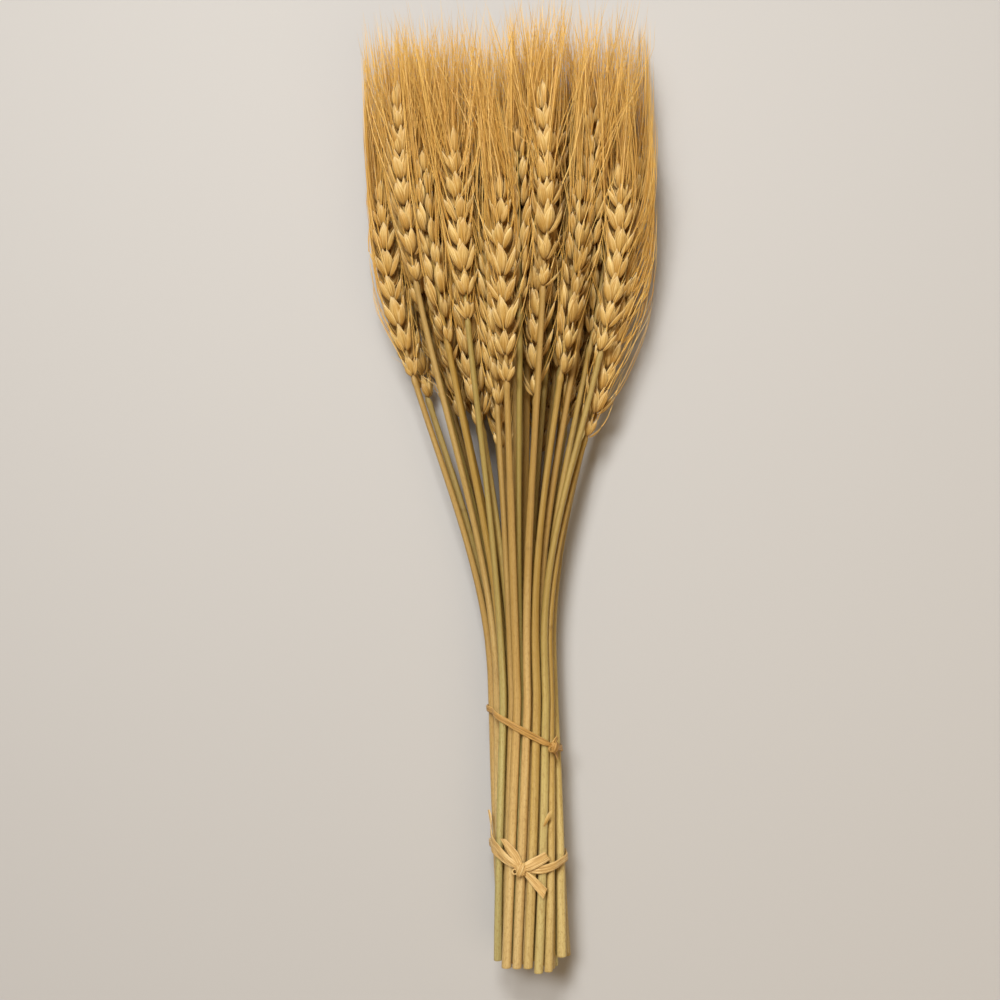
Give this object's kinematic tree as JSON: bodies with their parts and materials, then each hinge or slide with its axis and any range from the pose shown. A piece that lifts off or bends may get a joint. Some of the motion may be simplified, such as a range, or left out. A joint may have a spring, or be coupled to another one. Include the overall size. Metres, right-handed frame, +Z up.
{
  "type": "bundle of dried wheat",
  "caption": "Lying bundle of dried bearded wheat: straight stems packed in two raffia ties, fanning out to two-ranked ears with long awns.",
  "frame": {"origin": "on the surface that the bundle lies on, under the middle of its bounding box", "axes": "+Y along the bundle, from the cut ends to the awns' tips; +Z up, away from the surface; +X to the right, seen from above with the ears at the top"},
  "size_m": [0.1294, 0.4338, 0.067],
  "materials": {
    "straw": "matt dry straw",
    "raffia": "dry satin raffia"
  },
  "bodies": {
    "root": {"stalk_01": "straw", "stalk_02": "straw", "stalk_03": "straw", "stalk_04": "straw", "stalk_05": "straw", "stalk_06": "straw", "stalk_07": "straw", "stalk_08": "straw", "stalk_09": "straw", "stalk_10": "straw", "stalk_11": "straw", "stalk_12": "straw", "stalk_13": "straw", "stalk_14": "straw", "stalk_15": "straw", "stalk_16": "straw", "stalk_17": "straw", "stalk_18": "straw", "stalk_19": "straw", "stalk_20": "straw", "stalk_21": "straw", "stalk_22": "straw", "stalk_23": "straw", "stalk_24": "straw", "stalk_25": "straw", "stalk_26": "straw", "stalk_27": "straw", "stalk_28": "straw", "stalk_29": "straw", "stalk_30": "straw", "stalk_31": "straw", "stalk_32": "straw", "stalk_33": "straw", "stalk_34": "straw", "stalk_35": "straw", "stalk_36": "straw", "stalk_37": "straw", "stalk_38": "straw", "stalk_39": "straw", "stalk_40": "straw", "stalk_41": "straw", "stalk_42": "straw", "lower_tie": "raffia", "upper_tie": "raffia"}
  },
  "joints": []
}
